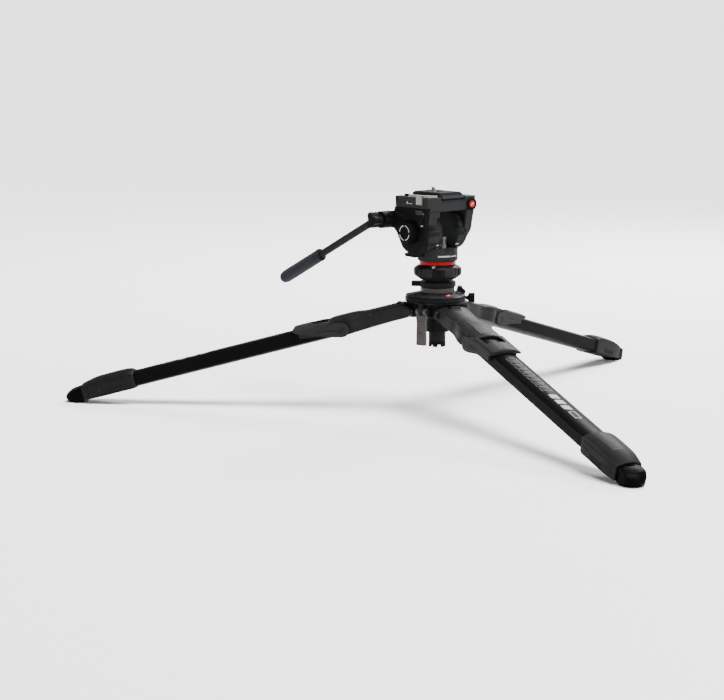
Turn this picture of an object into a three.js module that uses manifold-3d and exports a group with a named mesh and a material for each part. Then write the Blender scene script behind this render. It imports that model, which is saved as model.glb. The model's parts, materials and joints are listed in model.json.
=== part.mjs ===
// Low-angle video tripod with a fluid head: three flattened-tube legs splayed 15 degrees above the
// floor, a lobed crown, a short sliding centre column, and a pan-and-tilt fluid head with a pan bar.
// Millimetres, +Z up. The tripod axis is the construction origin; the finished group is shifted so
// that its origin is the bottom centre of the bounding box.
import * as THREE from 'three';
import { mergeVertices } from 'three/addons/utils/BufferGeometryUtils.js';
import Module from 'manifold-3d';

const wasm = await Module();
wasm.setup();

// ---- driving dimensions ----
const GAP = 0.3; // between pieces that meet face to face
const BIG = 500; // larger than any piece, for cutting blocks
const LEG_AZIMUTHS = { left: 180, front: -60, rear: 60 }; // degrees about +Z
const HINGE_RADIUS = 50; // leg hinge pin from the tripod axis
const HINGE_HEIGHT = 164.2; // leg hinge pin above the floor
const LEG_SLOPE = 15; // degrees below horizontal
const OUTER = { width: 40, side: 17.3, rise: 5 }; // leg tube: flat sides, arched top and bottom
const TUBE_WALL = 1.6;
const TUBE_PLAY = 0.5; // between nested leg tubes
const COLUMN_RADIUS = 14;
const CROWN_BOTTOM = 178.6;
const CROWN_TOP = 190;
const CROWN_RADIUS = 50;
const CROWN_LOBE = 0.07; // the rim swells by this share over each leg
const BASE_RADIUS = 30; // 60 mm head base
const TILT_HEIGHT = 297; // tilt axis above the floor
const DRUM_RADIUS = 32;
const HEAD_AZIMUTH = -45; // the camera looks along this azimuth
const PLATFORM_TOP = 354.5;
const BAR_SLOPE = 25.5; // degrees that the pan bar drops below horizontal
const BAR_PIVOT = { f: -54, z: 315 };

const BLACK = 0x151517;
const SATIN = 0x202123;
const RUBBER = 0x0c0d10;
const TITANIUM = 0x4b4644;
const STEEL = 0xa39d95;
const RED = 0xbe140a;

// ---- small toolkit: closed geometry in, joined or cut geometry out ----
function toSolid(geometry) {
  const bare = new THREE.BufferGeometry();
  bare.setAttribute('position', geometry.getAttribute('position').clone());
  if (geometry.index) bare.setIndex(geometry.index.clone());
  const merged = mergeVertices(bare, 1e-4);
  const corners = merged.getIndex().array;
  const position = merged.getAttribute('position');
  const point = (i) => new THREE.Vector3().fromBufferAttribute(position, i);
  const triangles = [];
  let volume = 0;
  for (let i = 0; i < corners.length; i += 3) {
    const [a, b, c] = [corners[i], corners[i + 1], corners[i + 2]];
    if (a === b || b === c || a === c) continue;
    triangles.push([a, b, c]);
    volume += point(a).dot(point(b).cross(point(c)));
  }
  const facing = volume > 0 ? triangles : triangles.map(([a, b, c]) => [a, c, b]);
  return new wasm.Manifold(new wasm.Mesh({
    numProp: 3,
    vertProperties: new Float32Array(position.array),
    triVerts: new Uint32Array(facing.flat()),
  }));
}

function toGeometry(body) {
  const mesh = body.getMesh();
  const geometry = new THREE.BufferGeometry();
  geometry.setAttribute('position', new THREE.BufferAttribute(mesh.vertProperties, 3));
  geometry.setIndex(new THREE.BufferAttribute(mesh.triVerts, 1));
  geometry.computeVertexNormals();
  return geometry;
}

const join = (first, ...rest) => rest.reduce((sum, next) => sum.add(next), first);
const cut = (first, ...rest) => rest.reduce((left, tool) => left.subtract(tool), first);
const common = (first, ...rest) => rest.reduce((left, next) => left.intersect(next), first);

function outline(points) {
  return new THREE.Shape(points.map(([x, y]) => new THREE.Vector2(x, y)));
}

// Prisms: the outline's two coordinates are the two other axes, in X, Y, Z order.
function prismZ(shape, low, high, arcSteps = 4) {
  const options = { depth: high - low, bevelEnabled: false, curveSegments: arcSteps };
  return new THREE.ExtrudeGeometry(shape, options).translate(0, 0, low);
}

function prismY(shape, low, high, arcSteps = 4) {
  const options = { depth: high - low, bevelEnabled: false, curveSegments: arcSteps };
  return new THREE.ExtrudeGeometry(shape, options).rotateX(Math.PI / 2).translate(0, high, 0);
}

function prismX(shape, low, high, arcSteps = 4) {
  const options = { depth: high - low, bevelEnabled: false, curveSegments: arcSteps };
  const turn = new THREE.Matrix4().makeBasis(
    new THREE.Vector3(0, 1, 0), new THREE.Vector3(0, 0, 1), new THREE.Vector3(1, 0, 0));
  return new THREE.ExtrudeGeometry(shape, options).applyMatrix4(turn).translate(low, 0, 0);
}

function block(xs, ys, zs) {
  const [x0, x1] = xs;
  const [y0, y1] = ys;
  const [z0, z1] = zs;
  const box = new THREE.BoxGeometry(x1 - x0, y1 - y0, z1 - z0);
  return toSolid(box.translate((x0 + x1) / 2, (y0 + y1) / 2, (z0 + z1) / 2));
}

function rodX(radius, low, high, [y, z], sides = 20) {
  const rod = new THREE.CylinderGeometry(radius, radius, high - low, sides).rotateZ(Math.PI / 2);
  return toSolid(rod.translate((low + high) / 2, y, z));
}

function rodY(radius, low, high, [x, z], sides = 20) {
  const rod = new THREE.CylinderGeometry(radius, radius, high - low, sides);
  return toSolid(rod.translate(x, (low + high) / 2, z));
}

function rodZ(radius, low, high, [x, y], sides = 20) {
  const rod = new THREE.CylinderGeometry(radius, radius, high - low, sides).rotateX(Math.PI / 2);
  return toSolid(rod.translate(x, y, (low + high) / 2));
}

// Turned about +Z from [radius, z] points.
function turned(profile, sides = 32) {
  const points = profile.map(([radius, z]) => new THREE.Vector2(radius, z));
  return new THREE.LatheGeometry(points, sides).rotateX(Math.PI / 2);
}

const ring = (profile, sides) => turned([...profile, profile[0]], sides);

function mesh(name, body, color, roughness, metalness) {
  const material = new THREE.MeshStandardMaterial({ color, roughness, metalness });
  const geometry = body.isBufferGeometry ? body : toGeometry(body);
  const piece = new THREE.Mesh(geometry, material);
  piece.name = name;
  return piece;
}

const plastic = (name, body) => mesh(name, body, BLACK, 0.5, 0);
const alloy = (name, body) => mesh(name, body, SATIN, 0.42, 0.3);
const rubber = (name, body) => mesh(name, body, RUBBER, 0.75, 0);

// ---- leg sections ----
// A tube section with flat sides of height side and top and bottom arches of height rise.
function archShape({ width, side, rise }) {
  const half = width / 2;
  const radius = (half * half + rise * rise) / (2 * rise);
  const sweep = Math.asin(half / radius);
  const shape = new THREE.Shape();
  shape.moveTo(half, -side / 2);
  shape.lineTo(half, side / 2);
  shape.absarc(0, side / 2 + rise - radius, radius, Math.PI / 2 - sweep, Math.PI / 2 + sweep);
  shape.lineTo(-half, -side / 2);
  shape.absarc(0, radius - side / 2 - rise, radius, 1.5 * Math.PI - sweep, 1.5 * Math.PI + sweep);
  return shape;
}

// The same section with every wall moved in by depth.
function inset({ width, side, rise }, depth) {
  const narrower = width - 2 * depth;
  const flatter = rise * (narrower / width) ** 2;
  return { width: narrower, rise: flatter, side: side + 2 * rise - 2 * depth - 2 * flatter };
}

function archTube(section, from, to, arcSteps = 3) {
  const shape = archShape(section);
  shape.holes.push(archShape(inset(section, TUBE_WALL)));
  return prismX(shape, from, to, arcSteps);
}

const MIDDLE = inset(OUTER, TUBE_WALL + TUBE_PLAY);
const LOWER = inset(MIDDLE, TUBE_WALL + TUBE_PLAY);
const archBar = (section, from, to) => toSolid(prismX(archShape(section), from, to, 3));

// Leg stations along the leg from its hinge pin.
const OUTER_START = 62;
const OUTER_END = 500;
const COVER_END = 130;
const YOKE_END = 183;
const LEVER_PIVOT = [110, -3];
const CASING_START = 473;
const CASING_END = 566;
const MIDDLE_SPAN = [76, 545];
const LOWER_SPAN = [90, 549];
const LUG_HALF = 11; // half the width of the crown's leg lugs
const PIN_RADIUS = 4;
const YOKE_HALF = 24.5; // half the yoke's width along the tube
const LEVER_HALF = 28; // half the lock lever's width

function yokeForm() {
  const side = outline([
    [-11.5, 0], [-9.5, -7], [-2, -11.2], [10, -12], [28, -12], [83, -14], [118, -16.5], [134, -8.5],
    [YOKE_END, -1], [YOKE_END, 8.2], [134, 8.2], [COVER_END + 1, 9], [COVER_END, 17.2], [124, 18.9],
    [90, 18.9], [66, 16.4], [5, 16], [-2, 12.4], [-9.5, 6.5],
  ]);
  const halfPlan = [[-12, 25], [20, 24.5], [55, 21.8], [66, 23.4], [82, 27], [91, 27],
    [97, YOKE_HALF], [YOKE_END, YOKE_HALF]];
  const plan = outline([...halfPlan, ...halfPlan.map(([d, s]) => [d, -s]).reverse()]);
  const neck = archBar({ width: 54, side: 24.4, rise: 4 }, -15, 64);
  const cover = archBar({ width: 54, side: 29, rise: 4.6 }, 64, YOKE_END + 1);
  return common(toSolid(prismY(side, -30, 30)), toSolid(prismZ(plan, -30, 30)), join(neck, cover));
}

function yoke() {
  const trunnion = rodY(4, 23, 27.6, LEVER_PIVOT, 16);
  const otherTrunnion = rodY(4, -27.6, -23, LEVER_PIVOT, 16);
  const pocket = archBar({ ...OUTER, width: OUTER.width + 2 * GAP, side: OUTER.side + 2 * GAP },
    OUTER_START - GAP, YOKE_END + 5);
  const lugSlot = block([-20, 12], [-LUG_HALF - 0.5, LUG_HALF + 0.5], [-30, 30]);
  const latchSlot = block([11, 22], [-8, 8], [10, 30]);
  const pinHole = rodY(PIN_RADIUS + GAP, -40, 40, [0, 0], 16);
  return cut(join(yokeForm(), trunnion, otherTrunnion), pocket, lugSlot, latchSlot, pinHole);
}

function angleLatch() {
  const side = outline([[2, 10.4], [19, 10.4], [19, 15.6], [14, 15.6], [12.5, 17.4], [9, 17.4], [2, 14]]);
  return prismY(side, -7.6, 7.6);
}

function hingePin() {
  const half = YOKE_HALF + 1;
  const heads = [rodY(6.5, half, half + 3, [0, 0], 16), rodY(6.5, -half - 3, -half, [0, 0], 16)];
  return join(rodY(PIN_RADIUS, -half - 1, half + 1, [0, 0], 16), ...heads);
}

function lockLever() {
  const [pivotD, pivotN] = LEVER_PIVOT;
  const side = new THREE.Shape();
  side.moveTo(123, -12);
  side.lineTo(158, -0.6);
  side.lineTo(181.5, 7.4);
  side.lineTo(190, 11.5);
  side.lineTo(190.5, 17);
  side.lineTo(188, 20);
  side.lineTo(153, 19.6);
  side.lineTo(124, 13.5);
  side.absarc(pivotD, pivotN, 12, 1.2, -1.25 + 2 * Math.PI);
  const body = toSolid(prismY(side, -LEVER_HALF, LEVER_HALF, 8));
  const arch = archBar({ width: 2 * LEVER_HALF, side: 28, rise: 6 }, 90, 200);
  const yokeRoom = block([90, 200], [-YOKE_HALF - GAP, YOKE_HALF + GAP], [-30, 8.7]);
  const tubeRoom = archBar({ width: 2 * (YOKE_HALF + GAP), side: 17.2, rise: 5.6 }, 90, 200);
  const coverRoom = rodY(29.2, -YOKE_HALF - GAP, YOKE_HALF + GAP, LEVER_PIVOT, 32);
  const window = block([90, 153], [-18, 18], [-30, 30]);
  const pivotHole = rodY(4.3, -40, 40, LEVER_PIVOT, 16);
  return cut(common(body, arch), yokeRoom, tubeRoom, coverRoom, window, pivotHole);
}

function lowerCasing() {
  const side = outline([
    [CASING_START, -13], [CASING_START + 4, -15.2], [548, -15.2], [CASING_END, -14.2],
    [CASING_END, 14], [556, 16.2], [538, 19.4], [500, 20.2], [480, 19], [CASING_START, 14.6],
  ]);
  const halfPlan = [[CASING_START, 22.4], [480, 23.2], [540, 23.2], [CASING_END, 21]];
  const plan = outline([...halfPlan, ...halfPlan.map(([d, s]) => [d, -s]).reverse()]);
  const arch = archBar({ width: 47, side: 30, rise: 5.4 }, 460, 580);
  const form = common(toSolid(prismY(side, -30, 30)), toSolid(prismZ(plan, -30, 30)), arch);
  const outerRoom = archBar({ ...OUTER, width: OUTER.width + 2 * GAP, side: OUTER.side + 2 * GAP },
    460, OUTER_END + GAP);
  const middleRoom = archBar({ ...MIDDLE, width: MIDDLE.width + 0.8, side: MIDDLE.side + 0.8 }, 460, 600);
  return cut(form, outerRoom, middleRoom);
}

function foot() {
  const side = outline([
    [CASING_END + GAP, 11.4], [CASING_END + GAP, -19], [590, -14], [597, -8.5], [600, -3], [598, 3.5],
    [591, 8.2], [580, 10.6],
  ]);
  const plan = new THREE.Shape();
  plan.moveTo(CASING_END, -17.4);
  plan.lineTo(580, -17.4);
  plan.bezierCurveTo(592, -17.4, 600.5, -10, 600.5, 0);
  plan.bezierCurveTo(600.5, 10, 592, 17.4, 580, 17.4);
  plan.lineTo(CASING_END, 17.4);
  const arch = archBar({ width: 35.2, side: 36, rise: 3 }, 540, 620).translate([0, 0, -9.5]);
  const toe = common(toSolid(prismY(side, -30, 30)), toSolid(prismZ(plan, -30, 30, 5)), arch);
  const root = archBar({ ...MIDDLE, width: MIDDLE.width - 0.4, side: MIDDLE.side - 0.4 }, 551, 572);
  const form = join(toe, root);
  const slope = THREE.MathUtils.degToRad(LEG_SLOPE);
  const ground = new THREE.BoxGeometry(BIG, BIG, BIG).translate(580, 0, -BIG / 2);
  const toLeg = new THREE.Matrix4().makeRotationY(-slope)
    .multiply(new THREE.Matrix4().makeTranslation(0, 0, -HINGE_HEIGHT));
  return cut(form, toSolid(ground.applyMatrix4(toLeg)));
}

function leg(name, azimuth) {
  const turn = new THREE.Group();
  turn.rotation.z = THREE.MathUtils.degToRad(azimuth);
  const frame = new THREE.Group();
  frame.position.set(HINGE_RADIUS, 0, HINGE_HEIGHT);
  frame.rotation.y = THREE.MathUtils.degToRad(LEG_SLOPE);
  frame.add(
    alloy(`${name}_yoke`, yoke()),
    plastic(`${name}_angle_latch`, angleLatch()),
    mesh(`${name}_hinge_pin`, hingePin(), SATIN, 0.35, 0.8),
    plastic(`${name}_lock_lever`, lockLever()),
    alloy(`${name}_outer_tube`, archTube(OUTER, OUTER_START, OUTER_END)),
    plastic(`${name}_lower_casing`, lowerCasing()),
    alloy(`${name}_middle_tube`, archTube(MIDDLE, ...MIDDLE_SPAN, 2)),
    alloy(`${name}_lower_tube`, archTube(LOWER, ...LOWER_SPAN, 2)),
    rubber(`${name}_foot`, foot()),
  );
  turn.add(frame);
  return turn;
}

// ---- crown and column ----
// Swells a turned form outside radius 30 into three lobes, one over each leg.
function lobed(geometry) {
  const position = geometry.getAttribute('position');
  for (let i = 0; i < position.count; i += 1) {
    const x = position.getX(i);
    const y = position.getY(i);
    const share = THREE.MathUtils.clamp((Math.hypot(x, y) - 30) / 15, 0, 1);
    const swell = 1 + CROWN_LOBE * share * Math.cos(3 * (Math.atan2(y, x) - Math.PI));
    position.setXY(i, x * swell, y * swell);
  }
  return geometry;
}

const LEVER_AZIMUTH = -120; // the hanging column lever, between two legs
const LEVER_RADIUS = 46;
const LEVER_PIN_Z = 168;
const LEVER_BOTTOM = 112;
const KNOB_Z = 186.5;
const spun = (body, azimuth) => body.rotate([0, 0, azimuth]);

function crown() {
  const boreRadius = COLUMN_RADIUS + 0.4;
  const body = toSolid(lobed(ring([
    [boreRadius, 130], [19, 130], [20.5, 152], [26, 157], [26, 174], [43, CROWN_BOTTOM], [48.5, 180],
    [CROWN_RADIUS - 0.4, 183], [CROWN_RADIUS, 187.5], [48.6, CROWN_TOP], [boreRadius, CROWN_TOP],
  ], 36)));
  const lug = join(
    block([20, HINGE_RADIUS], [-LUG_HALF, LUG_HALF], [HINGE_HEIGHT - 10, CROWN_BOTTOM + 2]),
    rodY(10, -LUG_HALF, LUG_HALF, [HINGE_RADIUS, HINGE_HEIGHT], 24));
  const pinHole = rodY(PIN_RADIUS + GAP, -BIG, BIG, [HINGE_RADIUS, HINGE_HEIGHT], 16);
  const leverLug = join(
    block([LEVER_RADIUS - 4, LEVER_RADIUS + 4], [-3.5, 3.5], [LEVER_PIN_Z, CROWN_BOTTOM + 2]),
    rodY(4.8, -3.5, 3.5, [LEVER_RADIUS, LEVER_PIN_Z], 16),
    rodY(2, -10.2, 10.2, [LEVER_RADIUS, LEVER_PIN_Z], 12));
  const knobHole = rodX(3.1, boreRadius - 1, BIG, [0, KNOB_Z], 12);
  const lugs = Object.values(LEG_AZIMUTHS).map((azimuth) => spun(cut(lug, pinHole), azimuth));
  return cut(join(body, ...lugs, spun(leverLug, LEVER_AZIMUTH)), knobHole);
}

function crownCover() {
  return lobed(ring([
    [28.4, CROWN_TOP + GAP], [48.4, CROWN_TOP + GAP], [47.5, 191.6], [30, 196], [28.4, 196],
  ], 36));
}

// A hanging plate that widens into a fork round the crown's lever lug.
function columnLever() {
  const face = outline([
    [-9, LEVER_BOTTOM + 1.5], [-7.5, LEVER_BOTTOM], [7.5, LEVER_BOTTOM], [9, LEVER_BOTTOM + 1.5],
    [8.3, 150], [9.8, 158], [9.8, LEVER_PIN_Z], [-9.8, LEVER_PIN_Z], [-9.8, 158], [-8.3, 150],
  ]);
  const plate = toSolid(prismX(face, LEVER_RADIUS - 2.5, LEVER_RADIUS + 2.5));
  const barrel = rodY(4.5, -9.8, 9.8, [LEVER_RADIUS, LEVER_PIN_Z], 16);
  const notch = block([0, BIG], [-4.3, 4.3], [LEVER_PIN_Z - 6.5, BIG]);
  const pinHole = rodY(2.3, -BIG, BIG, [LEVER_RADIUS, LEVER_PIN_Z], 12);
  return spun(cut(join(plate, barrel), notch, pinHole), LEVER_AZIMUTH);
}

function fluted(radius, depth, count, low, high) {
  const shape = new THREE.Shape();
  const steps = count * 4;
  for (let i = 0; i < steps; i += 1) {
    const angle = (2 * Math.PI * i) / steps;
    const reach = radius - (i % 4 < 2 ? 0 : depth);
    if (i === 0) shape.moveTo(reach, 0);
    else shape.lineTo(reach * Math.cos(angle), reach * Math.sin(angle));
  }
  return prismX(shape, low, high);
}

function columnKnob() {
  const head = toSolid(fluted(8, 0.7, 10, 51.3, 61.5)).translate([0, 0, KNOB_Z]);
  return join(head, rodX(2.8, 15, 52, [0, KNOB_Z], 12), rodX(4.5, 49.5, 52, [0, KNOB_Z], 12));
}

function columnCatch() {
  const teeth = outline([
    [33, 195.7], [46, 192.5], [46.5, 196.5], [44, 200], [42.3, 199], [40, 205.5], [38, 202.5],
    [35.6, 206], [33.4, 199.5],
  ]);
  return spun(toSolid(prismY(teeth, -5.5, 5.5)), 15);
}

function collarRing() {
  return ring([[COLUMN_RADIUS + 0.4, CROWN_TOP + GAP], [28, CROWN_TOP + GAP], [28, 203.4],
    [27.4, 204], [COLUMN_RADIUS + 0.4, 204]], 28);
}

function columnTube() {
  return ring([[COLUMN_RADIUS - 1.8, 114.3], [COLUMN_RADIUS, 114.3], [COLUMN_RADIUS, 204.2],
    [COLUMN_RADIUS - 1.8, 204.2]], 32);
}

function columnEnd() {
  const end = toSolid(ring([[10, 105], [COLUMN_RADIUS, 105], [COLUMN_RADIUS, 114], [10, 114]], 32));
  const notch = block([-3, 3], [-BIG, BIG], [100, 109]);
  return cut(end, notch.rotate([0, 0, 20]), notch.rotate([0, 0, -40]), notch.rotate([0, 0, 80]));
}

function columnHead() {
  const body = toSolid(turned([[0, 204.6], [29, 204.6], [30.3, 205.8], [30.3, 212.4], [29.2, 213.6],
    [22, 213.6], [22, 218.6], [0, 218.6]], 28));
  return cut(body, block([-BIG, -18.6], [-7.4, 7.4], [200, 213.6]));
}

function releaseTab() {
  const plan = outline([[-42.8, -4], [-40, -7], [-20.8, -7], [-20.8, 7], [-40, 7], [-42.8, 4]]);
  return prismZ(plan, 205, 213.2);
}

function lockRing() {
  return ring([[24.6, 217.2], [28, 217.2], [36.4, 222], [39.2, 226], [39.2, 234.5], [36.8, 238],
    [31, 240.6], [24.6, 240.6]], 28);
}

// ---- fluid head: X is forward along the camera, Y is the far side from the drag knob ----
const BASE_TOP = 247.6;
const HOUSING_BOTTOM = 248;
const HOUSING_TOP = 270;
const HOUSING_RADIUS = 33;
const DRUM_SPAN = [17.5, 50.7]; // the drag-side drum, from the head's middle plane
const FAR_DRUM_SPAN = [17.5, 33.2];
const COVER_SPAN = [51, 58]; // drag-side cover
const PAN_SHAFT_RADIUS = 8;
const AXLE_RADIUS = 8;
const CARTRIDGE_RADIUS = 18;
const TILT_LOCK_Z = 259.5;
const PAN_LOCK_Z = 257;
const PLATE_SIDE = 1.5; // the camera plate's middle, towards the drag side
const SCREW_F = -10;
// Spans given towards the drag side become Y spans.
const dragSide = ([near, far]) => [-far, -near];

function headBase() {
  return turned([[0, 219], [24.2, 219], [24.2, BASE_TOP], [PAN_SHAFT_RADIUS + 0.4, BASE_TOP],
    [PAN_SHAFT_RADIUS + 0.4, 224], [0, 224]], 28);
}

function redRing() {
  return ring([[24.6, 241.4], [29.5, 241.4], [BASE_RADIUS, 242], [BASE_RADIUS, 247.2],
    [29.6, BASE_TOP], [24.6, BASE_TOP]], 28);
}

function panShaft() {
  return turned([[0, 224.3], [PAN_SHAFT_RADIUS, 224.3], [PAN_SHAFT_RADIUS, 262], [0, 262]], 24);
}

function tiltRod(radius, span, sides = 20) {
  return rodY(radius, ...dragSide(span), [0, TILT_HEIGHT], sides);
}

function panHousing() {
  const boreRadius = PAN_SHAFT_RADIUS + 0.4;
  const base = toSolid(turned([[0, 262.4], [boreRadius, 262.4], [boreRadius, HOUSING_BOTTOM],
    [31.8, HOUSING_BOTTOM], [HOUSING_RADIUS, 249.4], [HOUSING_RADIUS, HOUSING_TOP],
    [0, HOUSING_TOP]], 28));
  const trench = block([-BIG, BIG], dragSide([-17.5, 17.5]), [267.5, BIG]);
  const farSweep = tiltRod(41, [-FAR_DRUM_SPAN[1] - 1, -27.6], 28);
  const drums = join(tiltRod(DRUM_RADIUS, DRUM_SPAN, 28), tiltRod(DRUM_RADIUS, [-33.2, -17.5], 28));
  const pocket = tiltRod(CARTRIDGE_RADIUS + 0.4, [21.5, 60], 28);
  const axleHole = tiltRod(AXLE_RADIUS + 0.4, [-60, -17], 20);
  const panLockHole = rodX(3.4, -BIG, -20, [0, PAN_LOCK_Z], 12);
  const tiltLockHole = rodY(4.7, ...dragSide([23, 60]), [0, TILT_LOCK_Z], 16);
  return cut(join(cut(base, trench, farSweep), drums), pocket, axleHole, panLockHole, tiltLockHole);
}

function levelVial() {
  return toSolid(turned([[0, 267.8], [4.6, 267.8], [4.6, 270], [3.9, 271], [3.9, 283], [3.2, 284],
    [0, 284.6]], 20)).translate([20, -6, 0]);
}

function panLockKnob() {
  const head = toSolid(fluted(8.5, 0.7, 10, -47, -34.5)).translate([0, 0, PAN_LOCK_Z]);
  return join(head, rodX(3, -35, -20.5, [0, PAN_LOCK_Z], 12));
}

function tiltLockLever() {
  const shaft = rodY(4.3, ...dragSide([24, 50.4]), [0, TILT_LOCK_Z], 16);
  const arm = outline([[0, 255.4], [-22, 256], [-25, 258.6], [-23, 261.4], [0, 263.6]]);
  return join(shaft, toSolid(prismY(arm, ...dragSide([44, 50.4]))));
}

function tiltPlatform() {
  const deckSide = outline([[-40.5, 337.8], [-36, 331], [36, 331], [40, 334], [40, 352.5],
    [38, PLATFORM_TOP], [-38.5, PLATFORM_TOP], [-40.5, 352.5]]);
  const coverRoom = block([-BIG, BIG], dragSide([COVER_SPAN[0] - 0.4, BIG]), [0, 337.7]);
  const deck = cut(toSolid(prismY(deckSide, ...dragSide([-47, COVER_SPAN[1]]))), coverRoom);
  const cheekSide = outline([[-36, 332], [-34, 310], [35, 310], [38, 332]]);
  const cheek = cut(toSolid(prismY(cheekSide, ...dragSide([33.5, DRUM_SPAN[1] - 0.1]))),
    tiltRod(DRUM_RADIUS + 0.7, [0, 60], 28));
  const armSide = outline([[-36, 332], [-DRUM_RADIUS, TILT_HEIGHT], [-20, 281], [20, 281],
    [DRUM_RADIUS, TILT_HEIGHT], [34, 302], [40, 332]]);
  const arm = toSolid(prismY(armSide, ...dragSide([-43, -33.6])));
  const dome = toSolid(turned([[0, 33.6], [DRUM_RADIUS, 33.6], [31.4, 36.5], [28, 40], [22, 42.4],
    [0, 44]], 28).rotateX(-Math.PI / 2)).translate([0, 0, TILT_HEIGHT]);
  const strut = toSolid(prismY(outline([[33.4, 300], [34.2, 300], [40, 332], [33.4, 332]]),
    ...dragSide([-34, -28])));
  const channel = block([-BIG, BIG], dragSide([-24, 27]), [349, BIG]);
  const axleHole = tiltRod(AXLE_RADIUS + GAP, [-41.5, -30], 20);
  const catchHole = rodZ(4.4, 351, BIG, [-25, -45], 16);
  const leverHole = rodZ(3.3, 350, BIG, [33, -48], 12);
  return cut(join(deck, cheek, arm, dome, strut), channel, axleHole, catchHole, leverHole);
}

function dragSideCover() {
  const side = new THREE.Shape();
  side.moveTo(37.5, 337.3);
  side.lineTo(35, 310);
  side.lineTo(34.5, 280);
  side.lineTo(31, 266.5);
  side.lineTo(14, 258);
  side.lineTo(-2, 260.6);
  side.lineTo(-21, 271);
  side.lineTo(-35.7, 295);
  side.lineTo(-43, 301.5);
  side.lineTo(BAR_PIVOT.f, BAR_PIVOT.z - 13.5);
  side.absarc(BAR_PIVOT.f, BAR_PIVOT.z, 13.5, 1.5 * Math.PI, Math.PI / 2, true);
  side.lineTo(-40.5, 331);
  side.lineTo(-40.5, 337.3);
  const plate = toSolid(prismY(side, ...dragSide(COVER_SPAN), 8));
  const recess = tiltRod(20, [56.4, 80], 32);
  const shaftHole = tiltRod(AXLE_RADIUS + 0.4, [0, 80], 20);
  const boltHole = rodY(3.3, ...dragSide([0, 80]), [BAR_PIVOT.f, BAR_PIVOT.z], 12);
  return cut(plate, recess, shaftHole, boltHole);
}

function tiltCartridge() {
  return join(tiltRod(CARTRIDGE_RADIUS, [22, 50.4], 28), tiltRod(AXLE_RADIUS, [50, 57], 20));
}

function dragKnob() {
  const head = toSolid(turned([[0, 57.3], [17, 57.3], [17, 70], [15.6, 72], [0, 72]], 28)
    .rotateX(Math.PI / 2));
  return head.translate([0, 0, TILT_HEIGHT]);
}

function cornerCap() {
  return rodX(10.4, 40.3, 43.6, [36.5, 341], 28);
}

function plateLever() {
  const plan = outline([[-7, -51], [-7, -57.6], [31, -58], [38, -54], [39.4, -36], [35, -42],
    [27, -44.5], [20, -51]]);
  const arm = toSolid(prismZ(plan, PLATFORM_TOP + GAP, 358.4));
  const tab = block([16, 29], [-61.4, -57.4], [PLATFORM_TOP + GAP, 358.4]);
  const hook = block([16, 29], [-61.4, -58.4], [343.5, 358.4]);
  return join(arm, tab, hook, rodZ(3, 350.3, 357, [33, -48], 12));
}

function plateCatch() {
  return rodZ(4, 352.8, 357.6, [-25, -45], 16);
}

function cameraPlate() {
  const half = 34;
  const foot = block([-half + 1, half - 1], dragSide([PLATE_SIDE - 23, PLATE_SIDE + 23]), [349.4, 356]);
  const top = block([-half, half], dragSide([PLATE_SIDE - 25, PLATE_SIDE + 25]), [355, 359.6]);
  const headRoom = rodZ(8, 340, 353.2, [SCREW_F, -PLATE_SIDE], 20);
  const shankRoom = rodZ(3.5, 340, BIG, [SCREW_F, -PLATE_SIDE], 16);
  return cut(join(foot, top), headRoom, shankRoom);
}

function platePad() {
  const pad = block([-32, 32], dragSide([PLATE_SIDE - 23, PLATE_SIDE + 23]), [359.9, 361]);
  return cut(pad, block([-24, 6], dragSide([PLATE_SIDE - 8, PLATE_SIDE + 8]), [350, 370]));
}

function cameraScrew() {
  return toSolid(turned([[0, 350.2], [7.5, 350.2], [7.5, 352.8], [3.17, 352.8], [3.17, 359.9],
    [5, 359.9], [5, 361.4], [3.17, 361.4], [3.17, 366.6], [2.4, 367.5], [0, 367.5]], 20))
    .translate([SCREW_F, -PLATE_SIDE, 0]);
}

// ---- pan bar: built along -X from the rosette axis, then sloped and placed ----
const BAR_TUBE_RADIUS = 6.25;
const BAR_OFFSET = 7; // the tube passes this far above the rosette axis
const BAR_SIDE = 70; // the tube's plane, towards the drag side
const GRIP_SPAN = [182, 303.4];
const alongBar = (profile, sides) => turned(profile, sides).rotateY(-Math.PI / 2);

function placedOnBar(geometry) {
  return geometry.translate(0, 0, BAR_OFFSET);
}

function barFitting() {
  const drum = rodY(14, ...dragSide([58.3 - BAR_SIDE, 78 - BAR_SIDE]), [0, 0], 28);
  const socket = toSolid(placedOnBar(alongBar([[0, 4], [7.9, 4], [7.9, 21], [0, 21]], 20)));
  const boss = rodX(4, 4, 16, [4, 3], 14);
  const bore = toSolid(placedOnBar(alongBar([[0, 6.5], [6.55, 6.5], [6.55, 60], [0, 60]], 24)));
  const boltHole = rodY(3.3, -BIG, BIG, [0, 0], 12);
  return cut(join(drum, socket, boss), bore, boltHole);
}

function barTube() {
  return placedOnBar(alongBar([[0, 7], [BAR_TUBE_RADIUS, 7], [BAR_TUBE_RADIUS, 296], [0, 296]], 24));
}

function barGrip() {
  const [start, end] = GRIP_SPAN;
  const bore = BAR_TUBE_RADIUS + GAP;
  return placedOnBar(alongBar([[0, 296.5], [bore, 296.5], [bore, start], [9.6, start],
    [11, start + 2], [11, end - 11], [9.6, end - 5], [5.8, end - 1.2], [0, end]], 24));
}

function barKnob() {
  const shape = new THREE.Shape();
  const steps = 30;
  for (let i = 0; i < steps; i += 1) {
    const angle = (2 * Math.PI * i) / steps;
    const reach = 11.2 + 3 * Math.cos(3 * angle);
    if (i === 0) shape.moveTo(reach, 0);
    else shape.lineTo(reach * Math.cos(angle), reach * Math.sin(angle));
  }
  const wing = toSolid(prismY(shape, ...dragSide([82 - BAR_SIDE, 97 - BAR_SIDE])));
  const hub = rodY(9.5, ...dragSide([78.4 - BAR_SIDE, 83 - BAR_SIDE]), [0, 0], 20);
  const bolt = rodY(3, ...dragSide([53 - BAR_SIDE, 79 - BAR_SIDE]), [0, 0], 12);
  return join(wing, hub, bolt);
}

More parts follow.
